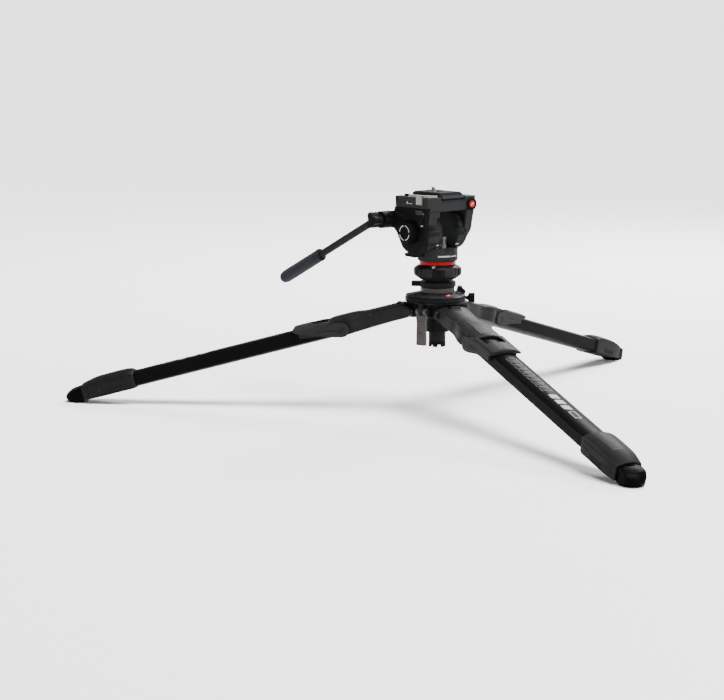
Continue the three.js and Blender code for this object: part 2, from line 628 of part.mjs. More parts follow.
function panBar() {
  const bar = new THREE.Group();
  bar.position.set(BAR_PIVOT.f, -BAR_SIDE, BAR_PIVOT.z);
  bar.rotation.y = THREE.MathUtils.degToRad(-BAR_SLOPE);
  bar.add(
    plastic('bar_fitting', barFitting()),
    alloy('bar_tube', barTube()),
    rubber('bar_grip', barGrip()),
  );
  return bar;
}

function head() {
  const group = new THREE.Group();
  group.rotation.z = THREE.MathUtils.degToRad(HEAD_AZIMUTH);
  const knob = plastic('bar_knob', barKnob());
  knob.position.set(BAR_PIVOT.f, -BAR_SIDE, BAR_PIVOT.z);
  group.add(
    alloy('head_base', headBase()),
    mesh('red_ring', redRing(), RED, 0.35, 0.4),
    mesh('pan_shaft', panShaft(), STEEL, 0.3, 1),
    alloy('pan_housing', panHousing()),
    plastic('level_vial', levelVial()),
    plastic('pan_lock_knob', panLockKnob()),
    plastic('tilt_lock_lever', tiltLockLever()),
    alloy('tilt_platform', tiltPlatform()),
    plastic('drag_side_cover', dragSideCover()),
    mesh('tilt_cartridge', tiltCartridge(), STEEL, 0.35, 1),
    mesh('tilt_axle', tiltRod(AXLE_RADIUS, [-41, -20], 20), STEEL, 0.3, 1),
    plastic('drag_knob', dragKnob()),
    plastic('corner_cap', cornerCap()),
    mesh('plate_lever', plateLever(), STEEL, 0.35, 0.9),
    plastic('plate_catch', plateCatch()),
    alloy('camera_plate', cameraPlate()),
    rubber('plate_pad', platePad()),
    mesh('camera_screw', cameraScrew(), STEEL, 0.25, 1),
    knob,
    panBar(),
  );
  return group;
}

function crownAndColumn() {
  const group = new THREE.Group();
  group.add(
    alloy('crown', crown()),
    alloy('crown_cover', crownCover()),
    mesh('collar_ring', collarRing(), TITANIUM, 0.4, 0.7),
    mesh('column_lever', columnLever(), TITANIUM, 0.45, 0.5),
    plastic('column_knob', columnKnob()),
    plastic('column_catch', columnCatch()),
    alloy('centre_column', columnTube()),
    plastic('column_end', columnEnd()),
    alloy('column_head', columnHead()),
    plastic('release_tab', releaseTab()),
    plastic('lock_ring', lockRing()),
  );
  return group;
}

const tripod = new THREE.Group();
tripod.add(crownAndColumn(), head());
for (const [name, azimuth] of Object.entries(LEG_AZIMUTHS)) tripod.add(leg(name, azimuth));
tripod.updateMatrixWorld(true);
const bounds = new THREE.Box3().setFromObject(tripod, true);
tripod.position.set(-(bounds.min.x + bounds.max.x) / 2, -(bounds.min.y + bounds.max.y) / 2, 0);

export default tripod;
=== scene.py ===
"""Looks for the tripod with fluid head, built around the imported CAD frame.

Shapes are drawn in millimetres in three local frames: the tripod axis, the head (X forward, Y away
from the drag knob) and each leg (X along the leg, Y across it, Z out of its top), then placed in
the row frame, which is in metres.
"""
import json
import math

import bmesh
import bpy
from mathutils import Matrix, Vector


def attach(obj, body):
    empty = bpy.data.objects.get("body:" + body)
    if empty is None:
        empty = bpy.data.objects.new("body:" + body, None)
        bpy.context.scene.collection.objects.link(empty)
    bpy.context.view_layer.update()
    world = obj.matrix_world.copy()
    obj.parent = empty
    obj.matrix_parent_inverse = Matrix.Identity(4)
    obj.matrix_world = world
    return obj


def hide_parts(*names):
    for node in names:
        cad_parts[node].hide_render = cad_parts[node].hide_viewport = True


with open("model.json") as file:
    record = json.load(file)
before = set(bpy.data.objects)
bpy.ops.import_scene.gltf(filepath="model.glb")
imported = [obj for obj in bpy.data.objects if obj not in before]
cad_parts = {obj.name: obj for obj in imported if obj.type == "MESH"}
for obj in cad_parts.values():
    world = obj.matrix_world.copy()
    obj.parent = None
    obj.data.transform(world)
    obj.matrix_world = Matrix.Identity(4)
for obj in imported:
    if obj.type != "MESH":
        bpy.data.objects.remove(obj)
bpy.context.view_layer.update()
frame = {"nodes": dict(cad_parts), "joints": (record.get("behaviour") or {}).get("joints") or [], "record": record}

MM = 0.001
JOINTS = {joint["name"]: joint for joint in frame["joints"]}
NODES = frame["nodes"]
LEGS = ("left", "front", "rear")
LEG_AZIMUTHS = (180, -60, 60)
COLLECTION = bpy.context.scene.collection

# ---- local frames -------------------------------------------------------------------------------


def basis(x_axis, y_axis, origin):
    """The matrix from a local frame in millimetres to the row frame in metres."""
    x_axis, y_axis = Vector(x_axis).normalized(), Vector(y_axis).normalized()
    z_axis = x_axis.cross(y_axis)
    turn = Matrix((x_axis, y_axis, z_axis)).transposed().to_4x4()
    return Matrix.Translation(origin) @ turn @ Matrix.Scale(MM, 4)


tripod_axis = Vector(JOINTS["pan"]["pos_m"])
tripod_axis.z = 0.0
CENTRE = basis((1, 0, 0), (0, 1, 0), tripod_axis)
HEAD = basis(JOINTS["plate_slide"]["axis"], JOINTS["tilt"]["axis"], tripod_axis)
TILT_HEIGHT = JOINTS["tilt"]["pos_m"][2] / MM


def leg_frame(leg):
    fold = JOINTS[f"{leg}_leg_fold"]
    return basis(JOINTS[f"{leg}_middle_extend"]["axis"], fold["axis"], fold["pos_m"])


BAR_OFFSET = 7.0  # the bar tube passes this far above the rosette's axis
BAR_SLOPE = 25.5  # degrees that the bar drops below horizontal
BAR_ROSETTE = (-54, -70, 315)  # in the head's frame


def bar_frame():
    """X runs from the rosette down towards the grip, Y towards the drag knob."""
    slope = math.radians(BAR_SLOPE)
    turn = HEAD.to_3x3()
    along = turn @ Vector((-math.cos(slope), 0, -math.sin(slope)))
    return basis(along, turn @ Vector((0, -1, 0)), HEAD @ Vector(BAR_ROSETTE))

# ---- outlines -----------------------------------------------------------------------------------


def arc(centre, radius, start, end, steps=12):
    """Points along an arc, angles in degrees."""
    angles = [math.radians(start + (end - start) * i / steps) for i in range(steps + 1)]
    return [(centre[0] + radius * math.cos(a), centre[1] + radius * math.sin(a)) for a in angles]


def filleted(points, radius, steps=4):
    """A closed outline with its corners rounded; a point may carry its own radius as a third value."""
    result = []
    count = len(points)
    for i, point in enumerate(points):
        corner = Vector(point[:2])
        before = Vector(points[i - 1][:2]) - corner
        after = Vector(points[(i + 1) % count][:2]) - corner
        wanted = point[2] if len(point) > 2 else radius
        half = before.angle(after) / 2
        if wanted <= 0 or half > math.radians(88):
            result.append(tuple(corner))
            continue
        reach = min(wanted / math.tan(half), before.length * 0.48, after.length * 0.48)
        first = corner + before.normalized() * reach
        last = corner + after.normalized() * reach
        for step in range(steps + 1):
            share = step / steps
            a, b = first.lerp(corner, share), corner.lerp(last, share)
            result.append(tuple(a.lerp(b, share)))
    return result


def arch(width, side, rise, steps=16):
    """A section with flat sides and arched top and bottom."""
    half = width / 2
    radius = (half * half + rise * rise) / (2 * rise)
    sweep = math.degrees(math.asin(half / radius))
    top = arc((0, side / 2 + rise - radius), radius, 90 - sweep, 90 + sweep, steps)
    bottom = arc((0, radius - side / 2 - rise), radius, 270 - sweep, 270 + sweep, steps)
    return top + bottom


def mirrored(half_outline):
    """A plan outline from the points of its positive side."""
    return half_outline + [(x, -y, *rest) for x, y, *rest in reversed(half_outline)]


# ---- solids, as meshes in local millimetres ------------------------------------------------------


def to_mesh(bm):
    bmesh.ops.recalc_face_normals(bm, faces=bm.faces)
    mesh = bpy.data.meshes.new("shape")
    bm.to_mesh(mesh)
    bm.free()
    return mesh


AXES = {"x": lambda a, b, h: (h, a, b), "y": lambda a, b, h: (a, h, b), "z": lambda a, b, h: (a, b, h)}


def prism(axis, points, low, high):
    """Extrudes an outline, whose coordinates are the two other axes in X, Y, Z order."""
    place = AXES[axis]
    bm = bmesh.new()
    floor = [bm.verts.new(place(a, b, low)) for a, b in points]
    ceiling = [bm.verts.new(place(a, b, high)) for a, b in points]
    bm.faces.new(floor)
    bm.faces.new(ceiling)
    for i in range(len(points)):
        j = (i + 1) % len(points)
        bm.faces.new((floor[i], floor[j], ceiling[j], ceiling[i]))
    return to_mesh(bm)


def slab(xs, ys, zs, radius=0.0, axis="z"):
    """A block, with the corners of its outline along axis rounded."""
    spans = {"x": (ys, zs, xs), "y": (xs, zs, ys), "z": (xs, ys, zs)}[axis]
    (a0, a1), (b0, b1), (low, high) = spans
    corners = [(a0, b0), (a1, b0), (a1, b1), (a0, b1)]
    return prism(axis, filleted(corners, radius) if radius else corners, low, high)


def lathe(axis, profile, centre=(0, 0), sides=64, closed=False, bend=None):
    """Turns (radius, height) points about an axis. closed joins the last point to the first."""
    place = AXES[axis]
    bm = bmesh.new()
    rings = []
    for radius, height in profile:
        if radius < 1e-6:
            rings.append([bm.verts.new(place(centre[0], centre[1], height))])
            continue
        row = []
        for i in range(sides):
            angle = 2 * math.pi * i / sides
            reach = radius if bend is None else bend(radius, angle)
            a, b = centre[0] + reach * math.cos(angle), centre[1] + reach * math.sin(angle)
            row.append(bm.verts.new(place(a, b, height)))
        rings.append(row)
    pairs = list(zip(rings, rings[1:]))
    if closed:
        pairs.append((rings[-1], rings[0]))
    for low, high in pairs:
        for i in range(sides):
            j = (i + 1) % sides
            if len(low) == 1 and len(high) == 1:
                continue
            if len(low) == 1:
                bm.faces.new((low[0], high[i], high[j]))
            elif len(high) == 1:
                bm.faces.new((low[i], low[j], high[0]))
            else:
                bm.faces.new((low[i], low[j], high[j], high[i]))
    return to_mesh(bm)


def rod(axis, radius, low, high, centre=(0, 0), sides=32):
    return lathe(axis, [(0, low), (radius, low), (radius, high), (0, high)], centre, sides)


def combined(base, operation, tools):
    """Joins, cuts or intersects meshes with Blender's boolean modifier."""
    holder = bpy.data.objects.new("holder", base)
    COLLECTION.objects.link(holder)
    cutters = []
    for tool in tools:
        cutter = bpy.data.objects.new("cutter", tool)
        COLLECTION.objects.link(cutter)
        cutters.append(cutter)
        modifier = holder.modifiers.new("combine", "BOOLEAN")
        modifier.operation = operation
        modifier.solver = "MANIFOLD"
        modifier.object = cutter
    bpy.context.view_layer.update()
    graph = bpy.context.evaluated_depsgraph_get()
    result = bpy.data.meshes.new_from_object(holder.evaluated_get(graph))
    for thing in [holder, *cutters]:
        bpy.data.objects.remove(thing)
    return result


def join(base, *tools):
    return combined(base, "UNION", tools)


def cut(base, *tools):
    return combined(base, "DIFFERENCE", tools)


def common(base, *tools):
    return combined(base, "INTERSECT", tools)


def turned(mesh, degrees, axis="Z"):
    mesh.transform(Matrix.Rotation(math.radians(degrees), 4, axis))
    return mesh


def copy_of(mesh):
    return mesh.copy()


# ---- materials ----------------------------------------------------------------------------------


def node_material(name):
    material = bpy.data.materials.new(name)
    material.use_nodes = True
    tree = material.node_tree
    shader = tree.nodes["Principled BSDF"]
    return material, tree, shader


def noise(tree, scale, detail=4.0):
    """Noise in the row frame's metres."""
    coords = tree.nodes.new("ShaderNodeTexCoord")
    texture = tree.nodes.new("ShaderNodeTexNoise")
    texture.inputs["Scale"].default_value = scale
    texture.inputs["Detail"].default_value = detail
    texture.inputs["Roughness"].default_value = 0.6
    tree.links.new(coords.outputs["Object"], texture.inputs["Vector"])
    return texture.outputs["Fac"]


def ramp(tree, factor, stops):
    """A colour ramp from (position, grey or colour) stops."""
    node = tree.nodes.new("ShaderNodeValToRGB")
    elements = node.color_ramp.elements
    while len(elements) < len(stops):
        elements.new(0.5)
    for element, (position, value) in zip(elements, stops):
        element.position = position
        colour = (value,) * 3 if isinstance(value, (int, float)) else value
        element.color = (*colour, 1.0)
    tree.links.new(factor, node.inputs["Fac"])
    return node.outputs["Color"]


def lightened_edges(tree, colour, light, amount=0.6):
    """Lightens convex edges a little."""
    geometry = tree.nodes.new("ShaderNodeNewGeometry")
    edge = ramp(tree, geometry.outputs["Pointiness"], [(0.52, 0.0), (0.60, amount)])
    mix = tree.nodes.new("ShaderNodeMix")
    mix.data_type = "RGBA"
    tree.links.new(edge, mix.inputs["Factor"])
    tree.links.new(colour, mix.inputs["A"])
    mix.inputs["B"].default_value = (*light, 1.0)
    return mix.outputs["Result"]


def bumped(tree, shader, height, distance, strength=1.0, after=None):
    node = tree.nodes.new("ShaderNodeBump")
    node.inputs["Distance"].default_value = distance
    node.inputs["Strength"].default_value = strength
    tree.links.new(height, node.inputs["Height"])
    if after:
        tree.links.new(after, node.inputs["Normal"])
    tree.links.new(node.outputs["Normal"], shader.inputs["Normal"])
    return node.outputs["Normal"]


def finish_material(name, colour, variation, rough, metallic=0.0, grain=2500.0, bump=0.00002,
                    edge=None, specular=0.15):
    """A moulded, painted or anodised surface: mottled colour and gloss, with a fine grain."""
    material, tree, shader = node_material(name)
    low = tuple(c * (1 - variation) for c in colour)
    high = tuple(c * (1 + variation) for c in colour)
    tone = ramp(tree, noise(tree, 45.0), [(0.3, low), (0.7, high)])
    if edge:
        # convex edges lightened a little
        tone = lightened_edges(tree, tone, edge)
    tree.links.new(tone, shader.inputs["Base Color"])
    gloss = ramp(tree, noise(tree, 160.0, 6.0), [(0.25, rough[0]), (0.75, rough[1])])
    tree.links.new(gloss, shader.inputs["Roughness"])
    shader.inputs["Metallic"].default_value = metallic
    shader.inputs["Specular IOR Level"].default_value = specular
    bumped(tree, shader, noise(tree, grain, 2.0), bump)
    return material


def foam_material():
    """Closed-cell foam: small open pores over a soft dark blue-black."""
    material, tree, shader = node_material("foam")
    coords = tree.nodes.new("ShaderNodeTexCoord")
    cells = tree.nodes.new("ShaderNodeTexVoronoi")
    cells.inputs["Scale"].default_value = 1400.0
    tree.links.new(coords.outputs["Object"], cells.inputs["Vector"])
    pores = ramp(tree, cells.outputs["Distance"], [(0.0, 0.0), (0.35, 1.0)])
    tone = ramp(tree, noise(tree, 300.0), [(0.3, (0.003, 0.0035, 0.007)), (0.7, (0.007, 0.008, 0.015))])
    tree.links.new(tone, shader.inputs["Base Color"])
    shader.inputs["Roughness"].default_value = 0.8
    shader.inputs["Specular IOR Level"].default_value = 0.15
    shader.inputs["Sheen Weight"].default_value = 0.04
    shader.inputs["Sheen Roughness"].default_value = 0.5
    first = bumped(tree, shader, pores, 0.00012, 0.7)
    bumped(tree, shader, noise(tree, 90.0), 0.0004, 0.5, after=first)
    return material


def build_materials():
    made = {
        "black_alloy": finish_material("black_alloy", (0.0062, 0.0064, 0.0067), 0.12, (0.36, 0.46),
                                       0.0, 3200.0, 0.00003, edge=(0.022, 0.023, 0.024),
                                       specular=0.02),
        "black_plastic": finish_material("black_plastic", (0.0028, 0.0028, 0.0030), 0.15,
                                         (0.38, 0.5), 0.0, 2600.0, 0.00004,
                                         edge=(0.012, 0.012, 0.013), specular=0.012),
        "lock_ring_black": finish_material("lock_ring_black", (0.0034, 0.0034, 0.0036), 0.12,
                                           (0.32, 0.42), 0.0, 2600.0, 0.00004,
                                           edge=(0.03, 0.03, 0.03), specular=0.03),
        "vial": finish_material("vial", (0.035, 0.036, 0.034), 0.1, (0.12, 0.2), grain=500.0,
                                bump=0.00001, specular=0.4),
        "titanium_grey": finish_material("titanium_grey", (0.030, 0.026, 0.0235), 0.08, (0.4, 0.5),
                                         0.3, 3200.0, 0.00002, edge=(0.07, 0.062, 0.058)),
        "red_anodised": finish_material("red_anodised", (0.17, 0.0010, 0.0005), 0.1, (0.26, 0.34),
                                        0.2, 2000.0, 0.00001, specular=0.1),
        "machined_steel": finish_material("machined_steel", (0.105, 0.092, 0.083), 0.1, (0.3, 0.42),
                                          0.6, 2500.0, 0.00002, edge=(0.3, 0.27, 0.25)),
        "pad_rubber": finish_material("pad_rubber", (0.012, 0.012, 0.0125), 0.15, (0.5, 0.65),
                                      0.0, 1500.0, 0.00005, specular=0.06),
        "foam_grip": foam_material(),
        "foot_rubber": finish_material("foot_rubber", (0.0014, 0.0014, 0.0016), 0.2, (0.3, 0.42),
                                       0.0, 1500.0, 0.00005, specular=0.012),
        "leg_tube_black": finish_material("leg_tube_black", (0.0026, 0.0026, 0.0029), 0.08,
                                          (0.34, 0.42), 0.0, 3000.0, 0.00001, specular=0.012),
        "leg_casting": finish_material("leg_casting", (0.0078, 0.0078, 0.0081), 0.1, (0.4, 0.48),
                                       0.0, 2400.0, 0.00005, edge=(0.022, 0.022, 0.022),
                                       specular=0.04),
        "leg_plastic": finish_material("leg_plastic", (0.0062, 0.0062, 0.0064), 0.1, (0.42, 0.5),
                                       0.0, 2400.0, 0.00005, edge=(0.022, 0.022, 0.022),
                                       specular=0.028),
        "pin_steel": finish_material("pin_steel", (0.006, 0.006, 0.0065), 0.15, (0.3, 0.4), 0.2,
                                     1500.0, 0.00002, specular=0.1),
    }
    made["badge_red"] = finish_material("badge_red", (0.3, 0.003, 0.008), 0.06, (0.3, 0.4),
                                        specular=0.1)
    made["print"] = finish_material("print", (0.3, 0.3, 0.3), 0.06, (0.5, 0.6))
    made["faint_print"] = finish_material("faint_print", (0.035, 0.037, 0.039), 0.06, (0.45, 0.55))
    made["dark_print"] = finish_material("dark_print", (0.008, 0.008, 0.008), 0.1, (0.5, 0.6))
    return made


MATERIALS = build_materials()

# ---- placing and finishing ----------------------------------------------------------------------


def smooth_by_angle_group():
    """A node group that smooths every edge flatter than the given angle."""
    group = bpy.data.node_groups.new("smooth_by_angle", "GeometryNodeTree")
    group.interface.new_socket("Geometry", in_out="INPUT", socket_type="NodeSocketGeometry")
    group.interface.new_socket("Geometry", in_out="OUTPUT", socket_type="NodeSocketGeometry")
    add = group.nodes.new
    start, end = add("NodeGroupInput"), add("NodeGroupOutput")
    faces, edges = add("GeometryNodeSetShadeSmooth"), add("GeometryNodeSetShadeSmooth")
    edges.domain = "EDGE"
    angle, compare = add("GeometryNodeInputMeshEdgeAngle"), add("FunctionNodeCompare")
    compare.operation = "LESS_THAN"
    compare.inputs["B"].default_value = math.radians(SMOOTH_ANGLE)
    group.links.new(start.outputs[0], faces.inputs["Geometry"])
    group.links.new(faces.outputs["Geometry"], edges.inputs["Geometry"])
    group.links.new(angle.outputs["Unsigned Angle"], compare.inputs["A"])
    group.links.new(compare.outputs["Result"], edges.inputs["Shade Smooth"])
    group.links.new(edges.outputs["Geometry"], end.inputs[0])
    return group


SMOOTH_ANGLE = 28.0
SMOOTHER = smooth_by_angle_group()


def soften(obj, bevel, weld=False):
    """Rounds an object's sharp edges and smooths its shading, leaving its mesh as it is."""
    if weld:
        modifier = obj.modifiers.new("weld", "WELD")
        modifier.merge_threshold = 0.000002
        modifier = obj.modifiers.new("flats", "DECIMATE")
        modifier.decimate_type = "DISSOLVE"
        modifier.angle_limit = math.radians(0.6)
    if bevel:
        modifier = obj.modifiers.new("edges", "BEVEL")
        modifier.width = bevel * MM
        modifier.segments = 2
        modifier.limit_method = "ANGLE"
        modifier.angle_limit = math.radians(33)
        modifier.miter_outer = "MITER_ARC"
        modifier.use_clamp_overlap = True
    modifier = obj.modifiers.new("shading", "NODES")
    modifier.node_group = SMOOTHER
    modifier = obj.modifiers.new("flat faces", "WEIGHTED_NORMAL")
    modifier.keep_sharp = True


def add(name, mesh, place, body, slot, stands_for=(), bevel=0.5, material=None):
    """Makes a piece of the local mesh, in the row frame, riding on a body."""
    mesh.transform(place)
    mesh.name = name
    mesh.materials.clear()
    mesh.materials.append(MATERIALS[material or slot])
    obj = bpy.data.objects.new(name, mesh)
    COLLECTION.objects.link(obj)
    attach(obj, body)
    if stands_for:
        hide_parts(*stands_for)
    if bevel is not None:
        soften(obj, bevel)
    return obj


def dress_cad_nodes():
    """Every CAD node that still shows gets its slot's material and softened edges."""
    slots = {entry["node"]: entry["material_slot"] for entry in frame["record"]["subparts"]}
    for name, obj in NODES.items():
        obj.data.materials.clear()
        obj.data.materials.append(MATERIALS[slots[name]])
        if name in NODE_REPLACED:
            continue
        if "custom_normal" in obj.data.attributes:
            obj.data.attributes.remove(obj.data.attributes["custom_normal"])
        soften(obj, 0.35, weld=True)


def replace(node, mesh, place, slot, bevel):
    NODE_REPLACED.add(node)
    add(f"{node}_look", mesh, place, NODE_BODY[node], slot, (node,), bevel)


NODE_REPLACED = set()
NODE_BODY = {node: body for body, members in frame["record"]["behaviour"]["bodies"].items()
             for node in members}


# ---- floor, light and camera --------------------------------------------------------------------

CAMERA_AZIMUTH = 3.64  # degrees that the camera stands round from -Y towards +X
CAMERA_DISTANCE = 3.1366
CAMERA_HEIGHT = 0.6123
CAMERA_YAW = 2.27  # degrees that it looks to the right of the tripod's axis
CAMERA_PITCH = 9.70
LENS_MM = 95.33
SENSOR_MM = 36.0
SHIFT_Y = 0.0177


def add_camera():
    data = bpy.data.cameras.new("camera")
    data.lens = LENS_MM
    data.sensor_width = SENSOR_MM
    data.shift_y = SHIFT_Y
    camera = bpy.data.objects.new("camera", data)
    COLLECTION.objects.link(camera)
    around = math.radians(CAMERA_AZIMUTH)
    offset = Vector((math.sin(around), -math.cos(around), 0)) * CAMERA_DISTANCE
    camera.location = tripod_axis + offset + Vector((0, 0, CAMERA_HEIGHT))
    heading = math.radians(CAMERA_AZIMUTH + CAMERA_YAW)
    camera.rotation_euler = (math.radians(90 - CAMERA_PITCH), 0, heading)
    bpy.context.scene.camera = camera


def add_area_light(name, position, target, size, power, colour=(1, 1, 1)):
    data = bpy.data.lights.new(name, "AREA")
    data.shape = "RECTANGLE"
    data.size, data.size_y = size
    data.energy = power
    data.color = colour
    light = bpy.data.objects.new(name, data)
    COLLECTION.objects.link(light)
    light.location = tripod_axis + Vector(position)
    aim = tripod_axis + Vector(target) - light.location
    light.rotation_euler = aim.to_track_quat("-Z", "Y").to_euler()


def add_world():
    """A bright horizon that the floor runs into, under a dim sky."""
    world = bpy.data.worlds.new("studio")
    world.use_nodes = True
    tree = world.node_tree
    coords, split = tree.nodes.new("ShaderNodeTexCoord"), tree.nodes.new("ShaderNodeSeparateXYZ")
    tree.links.new(coords.outputs["Generated"], split.inputs["Vector"])
    sky = ramp(tree, split.outputs["Z"], [(0.10, HORIZON), (0.35, SKY)])
    background = tree.nodes["Background"]
    tree.links.new(sky, background.inputs["Color"])
    background.inputs["Strength"].default_value = FLOOR_GLOW
    bpy.context.scene.world = world


FLOOR_GLOW = 2.6  # the radiance that the lit floor has, which the horizon matches
HORIZON = 1.0
SKY = 0.06
SUN_POWER = 8.6


def add_sun():
    """A soft overhead source, large enough to blur the shadows under the legs."""
    data = bpy.data.lights.new("overhead", "SUN")
    data.energy = SUN_POWER
    data.angle = math.radians(34)
    sun = bpy.data.objects.new("overhead", data)
    COLLECTION.objects.link(sun)
    towards = Vector((0.30, -0.10, 1.0))
    sun.rotation_euler = towards.to_track_quat("Z", "Y").to_euler()


def add_stage():
    bm = bmesh.new()
    bmesh.ops.create_grid(bm, x_segments=1, y_segments=1, size=200)
    mesh = bpy.data.meshes.new("floor")
    bm.to_mesh(mesh)
    bm.free()
    floor = bpy.data.objects.new("floor", mesh)
    COLLECTION.objects.link(floor)
    floor.location = (0, 0, -0.0002)
    material, _, shader = node_material("floor")
    shader.inputs["Base Color"].default_value = (0.93, 0.93, 0.93, 1)
    shader.inputs["Roughness"].default_value = 0.9
    shader.inputs["Specular IOR Level"].default_value = 0.0
    mesh.materials.append(material)
    add_world()
    add_sun()
    add_area_light("side", (1.6, -1.6, 0.9), (0, 0, 0.25), (0.8, 1.0), 22)
    add_area_light("back", (0.9, 2.4, 2.0), (0.2, 0, 0.1), (1.3, 0.9), 125)


# ---- legs: X along the leg from its hinge, Y across, Z out of its top ------------------------------

LEG_SLOPE = 15.0  # degrees below horizontal
HINGE_HEIGHT = 164.2
PIVOT = (110, -3)  # the lock lever's pivot
OUTER = {"width": 40, "side": 17.3, "rise": 5}
MIDDLE = {"width": 35.8, "side": 15.1, "rise": 4.0}
LOWER = {"width": 31.6, "side": 12.7, "rise": 3.1}

YOKE_COVER = [  # (along, half width, bottom, top)
    (-11.5, 24.6, -2.2, 2.2), (-10.8, 24.8, -5.0, 4.6), (-9.0, 25.0, -7.6, 7.4),
    (-6.0, 25.0, -9.8, 10.4), (-2.0, 25.0, -11.2, 13.2), (2.0, 25.0, -11.7, 15.4),
    (6.0, 24.9, -12.0, 16.0), (28, 24.2, -12.0, 16.1), (54, 21.9, -13.1, 16.3),
    (64, 23.0, -13.5, 16.5), (74, 25.3, -13.8, 17.4), (82, 26.8, -14.1, 18.3),
    (91, 26.9, -14.6, 18.9), (97, 24.5, -15.1, 18.9), (118, 24.5, -16.4, 18.9),
    (125, 24.5, -13.2, 18.7), (128.6, 24.5, -11.3, 18.0), (130, 24.4, -10.6, 17.0),
]
YOKE_SLEEVE = [(129, 24.5, -11.0, 9.0), (135, 24.5, -8.4, 8.3), (182, 24.5, -1.2, 8.2),
               (183, 24.2, -1.0, 8.0)]
CASING = [
    (473, 22.0, -12.6, 14.4), (475, 22.6, -14.3, 16.2), (479, 23.1, -15.2, 18.6),
    (486, 23.2, -15.2, 19.7), (500, 23.2, -15.2, 20.2), (520, 23.2, -15.2, 20.0),
    (538, 23.2, -15.2, 19.4), (548, 22.7, -15.1, 18.0), (556, 22.1, -14.7, 16.3),
    (565, 21.2, -14.3, 14.2), (566, 20.8, -13.8, 13.6),
]
TOE = [
    (566.4, 17.2, -18.6, 10.6), (574, 17.4, -18.8, 10.4), (580, 17.3, -18.6, 9.9),
    (585, 16.7, -17.6, 9.1), (589, 15.6, -16.0, 8.0), (593, 13.6, -13.6, 6.3),
    (596.5, 10.8, -10.6, 4.0), (599, 7.2, -7.2, 1.3), (600.3, 3.4, -4.4, -1.4),
]


def arch_bar(low, high, width, side, rise, grow=0.0, steps=16):
    return prism("x", arch(width + 2 * grow, side + 2 * grow, rise, steps), low, high)


def arch_tube(low, high, section, wall=1.6):
    return cut(arch_bar(low, high, **section), arch_bar(low - 1, high + 1, **section, grow=-wall))


def arch_loft(stations, top_rise, bottom_rise, grow=0.0, steps=14):
    """A body with arched top and bottom from (x, half width, bottom, top) stations."""
    bm = bmesh.new()
    rows = []
    for x, half, bottom, top in stations:
        half, bottom, top = half + grow, bottom - grow, top + grow
        room = (top - bottom) / 2
        upper, lower = min(top_rise, room * 0.9), min(bottom_rise, room * 0.9)
        row = []
        for i in range(steps + 1):
            share = 1 - 2 * i / steps
            row.append(bm.verts.new((x, half * share, top - upper * share * share)))
        for i in range(steps + 1):
            share = 2 * i / steps - 1
            row.append(bm.verts.new((x, half * share, bottom + lower * share * share)))
        rows.append(row)
    return bridge(bm, rows)


def bridge(bm, rows):
    """Joins rings of vertices into a closed body."""
    count = len(rows[0])
    for low, high in zip(rows, rows[1:]):
        for i in range(count):
            j = (i + 1) % count
            bm.faces.new((low[i], low[j], high[j], high[i]))
    bm.faces.new(rows[0])
    bm.faces.new(rows[-1])
    return to_mesh(bm)


def grooves(skin, *tools):
    """Cutters that reach no deeper than the skin inside a body."""
    return [cut(tool, copy_of(skin)) for tool in tools]


def yoke_mesh():
    shell = join(arch_loft(YOKE_COVER, 4.6, 3.2), arch_loft(YOKE_SLEEVE, 0.6, 1.0))
    bowed = [(52.5 + 4 * (s / 25) ** 2, s) for s in range(-30, 31, 3)]
    bowed += [(x + 0.9, s) for x, s in reversed(bowed)]
    seams = grooves(
        arch_loft(YOKE_COVER, 4.6, 3.2, grow=-0.55),
        prism("z", bowed, 9, 25), slab((47.5, 48.3), (-30, 30), (-20, 10)),
        slab((48.3, 124), (-30, 30), (7.4, 8.1)), slab((60, 94), (-30, 30), (-6.6, -6.0)))
    panel = prism("z", filleted([(71, -9), (122, -10.4), (122, 10.4), (71, 9)], 1.5), 12, 30)
    raised = common(panel, arch_loft(YOKE_COVER, 2.2, 3.2, grow=0.3))
    caps = [rod("y", 4, low, high, PIVOT) for low, high in ((23, 27.6), (-27.6, -23))]
    shell = join(cut(shell, *seams), raised, *caps)
    return cut(shell, arch_bar(61.7, 190, **OUTER, grow=0.3), rod("y", 4.3, -40, 40),
               slab((-20, 12), (-11.5, 11.5), (-30, 30), 1.5), slab((11, 22), (-8, 8), (10, 30), 1.2))


def lever_mesh():
    side = filleted([
        (123, -12, 3), (158, -0.6, 8), (181.5, 7.4, 6), (190, 11.5, 2), (190.5, 17, 2),
        (188, 20, 2), (153, 19.6, 12), (124, 13.5, 8), (110, 9, 0), (110, -15, 0),
    ], 2)
    body = join(prism("y", side, -28, 28), rod("y", 12, -28, 28, PIVOT, 64))
    body = common(body, arch_bar(90, 200, 56, 28, 6))
    rooms = [
        slab((90, 200), (-24.8, 24.8), (-30, 8.7)), arch_bar(90, 200, 49.6, 17.2, 5.6),
        rod("y", 29.2, -24.8, 24.8, PIVOT, 96), slab((90, 159), (-18, 18), (-30, 30), 2.5),
        rod("y", 4.3, -40, 40, PIVOT)]
    marks = [slab((150, 200), (-0.3, 0.3), (19.0, 30)), slab((185, 185.6), (-30, 30), (18.6, 30))]
    dishes = [slab((126, 150), span, (2.4, 4.4), 0.9, "y") for span in ((27.5, 30), (-30, -27.5))]
    return cut(body, *rooms, *marks, *dishes)


